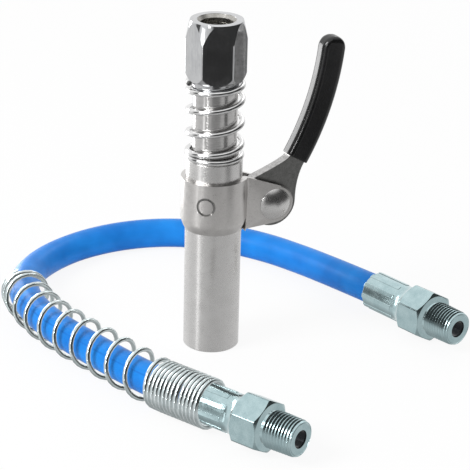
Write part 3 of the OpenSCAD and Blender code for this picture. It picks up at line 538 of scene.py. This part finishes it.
def makeGuard():
    s = guardSize
    track = smoothPath([(p[0], p[1], max(p[2], s["lift"])) for p in hoseRoute()], s["trackSteps"])
    run = [0]
    for a, b in zip(track, track[1:]):
        run.append(run[-1] + (b - a).length)

    def trackAt(length):
        i = max(k for k in range(len(run) - 1) if run[k] <= max(length, 0))
        return track[i].lerp(track[i + 1], (length - run[i]) / (run[i + 1] - run[i]))

    points = []
    wound = s["closed"] + s["open"]
    for i in range(round((wound + s["end"]) * s["perTurn"]) + 1):
        t = i / s["perTurn"]
        along = (s["start"] - lay["socket"] + s["closedPitch"] * t
                 + (s["pitch"] - s["closedPitch"]) * ramp(t, s["closed"], s["ease"])
                 - (s["pitch"] - s["lastPitch"]) * ramp(t, s["closed"], s["open"])
                 - (s["lastPitch"] - s["endPitch"]) * ramp(t, wound, s["ease"]))
        forward = (trackAt(along + s["look"]) - trackAt(along - s["look"])).normalized()
        side = forward.cross(Vector((0, 0, 1))).normalized()
        up = side.cross(forward)
        a = math.radians(-360 * t)
        points.append(trackAt(along) + s["mean"] * (math.cos(a) * side + math.sin(a) * up))
    return wireFrom("guardSpring", points, s["wire"], s["sides"])


# Hose fitting: taper thread, relief groove, hexagon and crimped ferrule in one piece
fittingSize = {
    "flats": 12.7, "hexLow": 9.3, "mouth": 32.5,
    "chamfer": [(6.13, 9.3), (6.28, 9.38), (7.15, 9.85), (7.15, 16.7)],
    "ferrule": 5.2, "blendEnd": 20.5, "blendSteps": 12, "rim": [(5.2, 32.25), (5.0, 32.5)],
    "stub": [(4.06, 0), (4.36, 0.3), (4.36, 8.3), (4.4, 8.3), (4.4, 9.8)],
    "thread": {"root": 4.28, "height": 0.76, "width": 0.88, "pitch": 0.907, "turns": 11,
               "start": -1.2},
    "taper": [(4.5, 0), (4.8, 0.85), (5.0, 8.2), (4.7, 8.3)],  # what trims the thread's crests
    "ribs": 10, "ribLow": (4.8, -0.65, 21.2), "ribHigh": (5.42, 0.65, 32.4), "ribEdge": 0.12,
    "bore": [(3.4, -1), (2.4, 0), (2.1, 0.3), (2.1, 15.7), (2.17, 15.7), (2.17, 18.7),
             (4.39, 18.7), (4.39, 33.5)],
    "boreWall": 2.35, "boreLow": 0.1, "boreHigh": 18.7,
}


def makeFitting(name):
    s = fittingSize
    piece = hexagonBar(name, s["flats"], s["hexLow"], s["mouth"], 0)
    corner, hexHigh = s["chamfer"][-1]
    drop = corner - s["ferrule"]
    long = s["blendEnd"] - hexHigh
    hollow = (long ** 2 + drop ** 2) / (2 * drop)  # radius of the blend down to the ferrule
    half = math.asin(long / hollow)
    outline = list(s["chamfer"])
    for i in range(1, s["blendSteps"]):
        a = math.pi + half * (1 - i / s["blendSteps"])
        outline.append((s["ferrule"] + hollow + hollow * math.cos(a),
                        s["blendEnd"] + hollow * math.sin(a)))
    outline += [(s["ferrule"], s["blendEnd"])] + s["rim"]
    combine(piece, turned("form", outline, hollow=False), "INTERSECT")
    stub = turned("stub", s["stub"], hollow=False)
    ridge = threadRidge(**s["thread"])
    combine(ridge, turned("taper", s["taper"], hollow=False), "INTERSECT")
    combine(stub, ridge, "UNION")
    combine(piece, stub, "UNION")
    rib = block("rib", s["ribLow"], s["ribHigh"])
    softenEdges(rib, s["ribEdge"])
    for k in range(s["ribs"]):
        other = copied(rib, "nextRib")
        other.rotation_euler = (0, 0, math.radians(360 / s["ribs"] * (k + 0.5)))
        settle(other)
        combine(piece, other, "UNION")
    bpy.data.objects.remove(rib)
    combine(piece, turned("bore", s["bore"], hollow=False), "DIFFERENCE")
    facesOut(piece)
    smooth(piece)
    inside = [face.index for face in piece.data.polygons
              if face.center.xy.length < s["boreWall"] * mm
              and s["boreLow"] * mm < face.center.z < s["boreHigh"] * mm]
    return piece, inside


def onPlace(piece, end, heading):  # lays a fitting made upright on its own line on the floor
    piece.matrix_world = (Matrix.Translation(Vector(end) * mm)
                          @ Matrix.Rotation(math.radians(heading), 4, "Z")
                          @ Matrix.Rotation(math.radians(90), 4, "Y"))
    settle(piece)


def makeFittings():
    front, inside = makeFitting("frontFitting")
    rear = copied(front, "rearFitting")
    onPlace(front, lay["frontEnd"], lay["frontHeading"])
    onPlace(rear, lay["rearEnd"], lay["rearHeading"])
    return front, rear, inside


# Materials
def linear(code):  # sRGB hex to the linear values that the shader takes
    values = [int(code[i:i + 2], 16) / 255 for i in (1, 3, 5)]
    return [v / 12.92 if v <= 0.04045 else ((v + 0.055) / 1.055) ** 2.4 for v in values] + [1]


def addNode(tree, kind, settings=None, links=None):
    made = tree.nodes.new("ShaderNode" + kind)
    for name, value in (settings or {}).items():
        if name == "stops":
            bar = made.color_ramp.elements
            while len(bar) < len(value):
                bar.new(0.5)  # moved to its place below
            for stop, (place, colour) in zip(bar, value):
                stop.position = place
                stop.color = (linear(colour) if isinstance(colour, str)
                              else (colour, colour, colour, 1))
        elif isinstance(name, int) or name in made.inputs:
            made.inputs[name].default_value = value
        else:
            setattr(made, name, value)
    for name, source in (links or {}).items():
        tree.links.new(source, made.inputs[name])
    return made.outputs


def emptyMaterial(name):
    made = bpy.data.materials.new(name)
    made.use_nodes = True
    made.node_tree.nodes.clear()
    return made


toneSpan = (0.32, 0.68)  # the noise values at which a colour is at its darkest and lightest
sheenSpan = (0.3, 0.7)  # and those at which the roughness is at its limits
plainLook = {"stretch": (1, 1, 1), "grainShare": 0.4, "metallic": 1.0, "ior": 1.5}


# Blotch, grain and depth are in millimetres; rough is for the light places, then the dark ones
def finish(name, look):  # two scales of mottling, in colour, roughness and relief
    look = {**plainLook, **look}
    made = emptyMaterial(name)
    tree = made.node_tree
    place = addNode(tree, "TexCoord")["Object"]
    stretched = addNode(tree, "Mapping", {"Scale": look["stretch"]}, {"Vector": place})["Vector"]
    blotch = addNode(tree, "TexNoise", {"Scale": 1 / (look["blotch"] * mm), "Detail": 3,
                                        "Roughness": 0.6}, {"Vector": place})[0]
    grain = addNode(tree, "TexNoise", {"Scale": 1 / (look["grain"] * mm), "Detail": 2,
                                       "Roughness": 0.7}, {"Vector": stretched})[0]
    mixed = addNode(tree, "Mix", {"data_type": "FLOAT", 0: look["grainShare"]},
                    {2: blotch, 3: grain})[0]
    stops = list(zip(toneSpan, (look["dark"], look["light"])))
    colour = addNode(tree, "ValToRGB", {"stops": stops}, {0: mixed})[0]
    dull, bright = look["rough"]
    rough = addNode(tree, "MapRange", {1: sheenSpan[0], 2: sheenSpan[1], 3: bright, 4: dull},
                    {0: mixed})[0]
    bump = addNode(tree, "Bump", {"Strength": look["relief"], "Distance": look["depth"] * mm},
                   {"Height": grain})[0]
    shader = addNode(tree, "BsdfPrincipled", {"Metallic": look["metallic"], "IOR": look["ior"]},
                     {"Base Color": colour, "Roughness": rough, "Normal": bump})
    addNode(tree, "OutputMaterial", None, {"Surface": shader["BSDF"]})
    return made


# Chrome-plated steel, drawn hexagon bar turned at both ends: bright, mirror-like, with faint
# bar marks up the flats
inletChrome = finish("chromePlatedSteel", {
    "dark": "#bfc0c2", "light": "#d3d4d5", "rough": (0.1, 0.05), "blotch": 4.0, "grain": 0.35,
    "stretch": (1, 1, 0.08), "relief": 0.1, "depth": 0.008})

# Nickel-plated mild steel tube, centreless ground: satin, with a fine mottled grain, drawn
# coarser than the real grit
groundSteel = finish("groundNickelledSteel", {
    "dark": "#cfcecd", "light": "#e4e3e2", "rough": (0.32, 0.24), "blotch": 3.0, "grain": 0.35,
    "stretch": (1, 1, 1.6), "relief": 0.1, "depth": 0.012, "grainShare": 0.55})

# Nickel-plated pressed sheet: the same plating over a rolled, slightly rougher skin
pressedSheet = finish("pressedNickelledSheet", {
    "dark": "#c4c2c0", "light": "#dbd9d7", "rough": (0.36, 0.26), "blotch": 2.2, "grain": 0.3,
    "relief": 0.14, "depth": 0.015, "grainShare": 0.55})

# Ground steel stem under the spring: shinier than the sleeve, with rings from the grinding wheel
stemSteel = finish("groundStemSteel", {
    "dark": "#b9b8b7", "light": "#dbdad9", "rough": (0.24, 0.15), "blotch": 5.0, "grain": 0.4,
    "stretch": (0.15, 0.15, 2.5), "relief": 0.1, "depth": 0.01, "grainShare": 0.5})

# Cold-headed nickel-plated rivet: evenly smooth, slightly wavy from the heading die
rivetSteel = finish("headedRivetSteel", {
    "dark": "#d2d1d0", "light": "#e6e5e4", "rough": (0.3, 0.24), "blotch": 1.8, "grain": 0.5,
    "relief": 0.08, "depth": 0.01})

# Spring steel wire, drawn and nickel-plated: bright, with die lines too fine to see, drawn as
# soft mottling
wireSteel = finish("drawnSpringWire", {
    "dark": "#d4d4d4", "light": "#f0f0f0", "rough": (0.18, 0.1), "blotch": 3.0, "grain": 0.4,
    "relief": 0.08, "depth": 0.008})

# Zinc-plated guard wire: a little bluer and duller than the return spring
guardZinc = finish("zincPlatedWire", {
    "dark": "#c2cfd1", "light": "#e4edee", "rough": (0.2, 0.1), "blotch": 2.4, "grain": 0.4,
    "relief": 0.1, "depth": 0.008})

# Bright zinc plating with a clear blue passivate over turned steel: pale cyan-grey and cloudy
fittingZinc = finish("blueZincPlate", {
    "dark": "#a6c0c4", "light": "#c2d9dc", "rough": (0.24, 0.13), "blotch": 2.6, "grain": 0.3,
    "relief": 0.1, "depth": 0.01, "grainShare": 0.35})

# Drilled bore of the fittings: bare steel, painted near black as the shade inside the bore
paintedBoreShade = finish("paintedBoreShadeSteel", {
    "dark": "#1c1d1e", "light": "#34373a", "rough": (0.5, 0.35), "blotch": 1.0, "grain": 0.3,
    "relief": 0.2, "depth": 0.02})

# Stamped steel, zinc phosphated: dark grey with pale specks where the plating is thin
leverSide = finish("phosphatedPlate", {
    "dark": "#6e6e6d", "light": "#9a9a98", "rough": (0.5, 0.36), "blotch": 1.1, "grain": 0.3,
    "relief": 0.25, "depth": 0.02, "grainShare": 0.5})

# Sheared rim of the lever: painted highlight, much brighter than its side, with short wear marks
leverRimHighlight = finish("paintedRimHighlight", {
    "dark": "#959493", "light": "#d2d1d0", "rough": (0.38, 0.26), "blotch": 1.4, "grain": 0.35,
    "relief": 0.2, "depth": 0.02})

# PVC plastisol, hot dipped: glossy black skin with a faint orange-peel wave
gripVinyl = finish("dippedVinyl", {
    "dark": "#0f0f10", "light": "#171718", "rough": (0.24, 0.15), "blotch": 6.0, "grain": 1.6,
    "metallic": 0.0, "ior": 1.53, "relief": 0.1, "depth": 0.04})

# Hardened jaw steel, dark from the quench and pale where it was ground
jawSteel = finish("hardenedSteel", {
    "dark": "#57554f", "light": "#86837c", "rough": (0.42, 0.28), "blotch": 1.2, "grain": 0.3,
    "relief": 0.3, "depth": 0.02})

# Nitrile rubber seal: matt black with a fine moulded grain
sealRubber = finish("nitrileRubber", {
    "dark": "#1b1c1e", "light": "#2b2c2f", "rough": (0.7, 0.55), "blotch": 0.9, "grain": 0.2,
    "metallic": 0.0, "ior": 1.52, "relief": 0.3, "depth": 0.02})

# Turned free-cutting steel, as machined: rings from the tool, on the inlet's bore and inside parts
turnedSteel = finish("turnedSteel", {
    "dark": "#9b9994", "light": "#c9c7c2", "rough": (0.32, 0.2), "blotch": 1.6, "grain": 0.25,
    "stretch": (0.3, 0.3, 3), "relief": 0.3, "depth": 0.015})

# Chrome steel bearing ball, lapped: nearly a mirror
ballSteel = finish("lappedBallSteel", {
    "dark": "#cfcfce", "light": "#e4e4e3", "rough": (0.1, 0.05), "blotch": 1.5, "grain": 0.3,
    "relief": 0.05, "depth": 0.005})

# Extruded nylon hose jacket: satin blue with slow changes of tone and a faint seam along it
jacket = {"dark": "#167ad6", "light": "#2190ee", "seam": "#1674d0", "blotch": 9.0, "grain": 0.8,
          "rough": (0.28, 0.42), "ior": 1.53, "specular": 0.15, "relief": 0.2, "depth": 0.04,
          "seamAt": 0.06, "seamWide": 0.012, "seamDeep": 0.6}  # the seam's place is round the UV


def hoseJacket():
    look = jacket
    made = emptyMaterial("extrudedNylonJacket")
    tree = made.node_tree
    coord = addNode(tree, "TexCoord")
    blotch = addNode(tree, "TexNoise", {"Scale": 1 / (look["blotch"] * mm), "Detail": 2},
                     {"Vector": coord["Object"]})[0]
    grain = addNode(tree, "TexNoise", {"Scale": 1 / (look["grain"] * mm), "Detail": 2},
                    {"Vector": coord["Object"]})[0]
    stops = list(zip(sheenSpan, (look["dark"], look["light"])))
    tone = addNode(tree, "ValToRGB", {"stops": stops}, {0: blotch})[0]
    across = addNode(tree, "SeparateXYZ", None, {"Vector": coord["UV"]})["Y"]
    off = addNode(tree, "Math", {"operation": "SUBTRACT", 1: look["seamAt"]}, {0: across})[0]
    near = addNode(tree, "Math", {"operation": "ABSOLUTE"}, {0: off})[0]
    seam = addNode(tree, "MapRange", {1: 0.0, 2: look["seamWide"], 3: 1.0, 4: 0.0}, {0: near})[0]
    colour = addNode(tree, "Mix", {"data_type": "RGBA", 7: linear(look["seam"])},
                     {0: seam, 6: tone})[2]
    low, high = look["rough"]
    rough = addNode(tree, "MapRange", {1: sheenSpan[0], 2: sheenSpan[1], 3: low, 4: high},
                    {0: grain})[0]
    relief = addNode(tree, "Math", {"operation": "MULTIPLY_ADD", 1: -look["seamDeep"]},
                     {0: seam, 2: grain})[0]
    bump = addNode(tree, "Bump", {"Strength": look["relief"], "Distance": look["depth"] * mm},
                   {"Height": relief})[0]
    shader = addNode(tree, "BsdfPrincipled",
                     {"IOR": look["ior"], "Specular IOR Level": look["specular"]},
                     {"Base Color": colour, "Roughness": rough, "Normal": bump})
    addNode(tree, "OutputMaterial", None, {"Surface": shader["BSDF"]})
    return made


print("materials mixed")


# Every piece takes its material and its body, and the solid it stands for is hidden
def dress(piece, material, slot, body, *stands):
    piece.data.materials.clear()
    piece.data.materials.append(material)
    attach(piece, body)
    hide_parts(*stands)
    print(piece.name, "done")
    return piece


def secondFinish(piece, material, wanted):  # on the faces that wanted says yes to
    piece.data.materials.append(material)
    for face in piece.data.polygons:
        if wanted(face):
            face.material_index = 1


dress(makeSlottedTube("sleeveTube", sleeveSize), groundSteel, "ground_steel", "coupler_body",
      "sleeve")
bracket = dress(makeBracket(), pressedSheet, "sheet_steel", "coupler_body", "lever_bracket")
secondFinish(bracket, leverSide, inShadedStakeRing)  # painted shade: the pressed rings take the darker lever finish
dress(makeRivet(), rivetSteel, "rivet_steel", "coupler_body", "pivot_rivet")

lever = dress(makeLever(), leverSide, "lever_steel", "lever", "lever_plate")
# The rim faces take the painted rim highlight
secondFinish(lever, leverRimHighlight, onRimHighlight)
grip = dress(makeGrip(), gripVinyl, "grip_vinyl", "lever", "lever_grip")

dress(makeSlottedTube("stemTube", stemSize), stemSteel, "stem_steel", "stem", "stem_tube")
inlet = dress(makeInlet(), inletChrome, "inlet_chrome", "stem", "inlet_hex")
secondFinish(inlet, turnedSteel, inTappedBore)  # the plating doesn't reach down there
coil = dress(makeReturnSpring(), wireSteel, "spring_steel", "stem", "return_spring")
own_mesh(coil)

frontFitting, rearFitting, boreFaces = makeFittings()
dress(frontFitting, fittingZinc, "fitting_zinc", "hose_set", "front_fitting")
dress(rearFitting, fittingZinc, "fitting_zinc", "hose_set", "rear_fitting")
# The fittings' bores take the painted bore shade
for piece in (frontFitting, rearFitting):
    secondFinish(piece, paintedBoreShade, lambda face: face.index in boreFaces)
guard = dress(makeGuard(), guardZinc, "guard_zinc", "hose_set", "guard_spring")
dress(hose, hoseJacket(), "hose_jacket", "hose_set", "hose")

# In the photograph the coupler's metal mirrors neither the hose set nor the grip
for piece in (hose, guard, frontFitting, rearFitting, grip):
    piece.visible_glossy = False

# Small inner parts keep their solids and take their finish
kept = {"jaw_1": jawSteel, "jaw_2": jawSteel, "jaw_3": jawSteel, "jaw_4": jawSteel,
        "jaw_ring": wireSteel, "nozzle_tip": turnedSteel, "nozzle_seal": sealRubber,
        "check_ball": ballSteel, "check_spring": wireSteel,
        "front_insert": turnedSteel, "rear_insert": turnedSteel}
for name, material in kept.items():
    for place in nodes[name].material_slots:
        place.material = material


# Studio: white sweep, soft light from the left, and walls and cards that only shiny parts mirror.
# The two walls go round the object from -X, as brightness at each share of the turn.
studio = {
    "fill": "#d4d4d4",  # what lights the matt surfaces
    "low": [(0, 0.72), (0.016, 0.7), (0.05, 0.62), (0.10, 0.57), (0.18, 0.55), (0.31, 0.58),
            (0.40, 0.62), (0.50, 0.68), (0.56, 0.68), (0.68, 0.9), (0.83, 0.85), (0.87, 0.82),
            (0.905, 0.76), (0.96, 0.74)],
    "high": [(0, 1.0), (0.05, 1.0), (0.12, 0.6), (0.15, 0.05), (0.48, 0.05), (0.54, 0.5),
             (0.61, 1.0), (0.88, 1.0), (0.91, 0.8), (0.93, 0.12), (0.98, 0.12), (0.99, 1.0)],
    "under": 0.42,  # what the undersides of wires and threads mirror
    "underEnd": (-0.8, -0.55), "lowEnd": (-0.28, -0.1), "highEnd": (0.6, 0.85),  # white above
    "lamps": {"mainLamp": ((-0.75, -0.07, 0.62), 0.4, 5.2),  # place and size in m, and watts
              "rimLamp": ((0.5, 0.5, 0.5), 0.25, 0.35)},
    "aim": (0, 0, 0.04),
    "floor": "#fafafa", "floorGlow": 0.9, "floorSize": 8,
}

# Cards: place and size in mm, turn round the upright axis, lean from flat, and brightness
cards = {
    "hexFrontFlag": ((-96, -263, 1), (190, 130), -20, 0, 0.04),
    "stemFlag": ((-58, -161, 1), (150, 86), -20, 0, 0.42),
    "hexSideFlag": ((263, 58, 1), (90, 90), 12, 0, 0.2),
    "gripFlag": ((112, -184, 1), (60, 190), 24, 0, 0.16),
    "gripStrip": ((-50, 130, 48), (50, 110), 30, 90, 6.0),
    "sleeveStrip": ((-123, -19, -15), (17, 92), 96, 90, 1.8),
    "cornerSoftbox": ((-295, -62, 92), (75, 66), 102, 90, 2.2),
    "lowEdgeSoftbox": ((-698, -469, 318), (120, 80), 123, 90, 22.0),
    "tipEdgeSoftbox": ((-754, -382, -140), (60, 60), 116, 90, 22.0),
}
white = (1, 1, 1, 1)


def lightWorld():
    world = bpy.data.worlds.new("studio")
    scene.world = world
    world.use_nodes = True
    world.cycles.sampling_method = "NONE"
    tree = world.node_tree
    tree.nodes.clear()
    split = addNode(tree, "SeparateXYZ", None, {"Vector": addNode(tree, "TexCoord")["Generated"]})
    turn = addNode(tree, "Math", {"operation": "ARCTAN2"}, {0: split["Y"], 1: split["X"]})[0]
    around = addNode(tree, "Math", {"operation": "MULTIPLY_ADD", 1: 0.5 / math.pi, 2: 0.5},
                     {0: turn})[0]
    low = addNode(tree, "ValToRGB", {"stops": studio["low"]}, {0: around})[0]
    high = addNode(tree, "ValToRGB", {"stops": studio["high"]}, {0: around})[0]
    start, end = studio["lowEnd"]
    share = addNode(tree, "MapRange", {1: start, 2: end}, {0: split["Z"]})[0]
    walls = addNode(tree, "Mix", {"data_type": "RGBA"}, {0: share, 6: low, 7: high})[2]
    start, end = studio["underEnd"]
    share = addNode(tree, "MapRange", {1: start, 2: end}, {0: split["Z"]})[0]
    under = studio["under"]
    sides = addNode(tree, "Mix", {"data_type": "RGBA", 6: (under, under, under, 1)},
                    {0: share, 7: walls})[2]
    start, end = studio["highEnd"]
    share = addNode(tree, "MapRange", {1: start, 2: end}, {0: split["Z"]})[0]
    room = addNode(tree, "Mix", {"data_type": "RGBA", 7: white}, {0: share, 6: sides})[2]
    rays = addNode(tree, "LightPath")
    lit = addNode(tree, "Mix", {"data_type": "RGBA", 6: linear(studio["fill"])},
                  {0: rays["Is Glossy Ray"], 7: room})[2]
    seen = addNode(tree, "Math", {"operation": "MAXIMUM"},
                   {0: rays["Is Camera Ray"], 1: rays["Is Transmission Ray"]})[0]
    colour = addNode(tree, "Mix", {"data_type": "RGBA", 7: white}, {0: seen, 6: lit})[2]
    back = addNode(tree, "Background", None, {"Color": colour})
    addNode(tree, "OutputWorld", None, {"Surface": back[0]})


def layFloor():
    startFresh()
    bpy.ops.mesh.primitive_plane_add(size=studio["floorSize"])
    floor = bpy.context.object
    floor.name = "studioFloor"
    made = emptyMaterial("paintedFloor")
    tree = made.node_tree
    seen = addNode(tree, "LightPath")["Is Camera Ray"]
    share = addNode(tree, "Math", {"operation": "MULTIPLY", 1: studio["floorGlow"]},
                    {0: seen})[0]
    paint = addNode(tree, "BsdfDiffuse", {"Color": linear(studio["floor"])})[0]
    glow = addNode(tree, "Emission", {"Color": white, "Strength": 1.0})[0]
    both = addNode(tree, "MixShader", None, {0: share, 1: paint, 2: glow})[0]
    addNode(tree, "OutputMaterial", None, {"Surface": both})
    floor.data.materials.append(made)
    floor.visible_glossy = False


def hangCard(name, place, size, turn, lean, shade):
    startFresh()
    bpy.ops.mesh.primitive_plane_add(size=1, location=Vector(place) * mm,
                                     rotation=(math.radians(lean), 0, math.radians(turn)))
    plane = bpy.context.object
    plane.name = name
    plane.scale = (size[0] * mm, size[1] * mm, 1)
    made = emptyMaterial(name)
    glow = addNode(made.node_tree, "Emission", {"Color": white, "Strength": shade})[0]
    addNode(made.node_tree, "OutputMaterial", None, {"Surface": glow})
    plane.data.materials.append(made)
    plane.visible_camera = plane.visible_diffuse = False  # only reflections show it
    plane.visible_transmission = plane.visible_shadow = False


def hangLamp(name, place, size, power):
    data = bpy.data.lights.new(name, "AREA")
    data.size = size
    data.energy = power
    lamp = bpy.data.objects.new(name, data)
    lamp.location = place
    lamp.rotation_euler = (Vector(place) - Vector(studio["aim"])).to_track_quat("Z", "Y").to_euler()
    scene.collection.objects.link(lamp)


lightWorld()
layFloor()
for name, card in cards.items():
    hangCard(name, *card)
for name, lamp in studio["lamps"].items():
    hangLamp(name, *lamp)
print("studio lit")

startFresh()
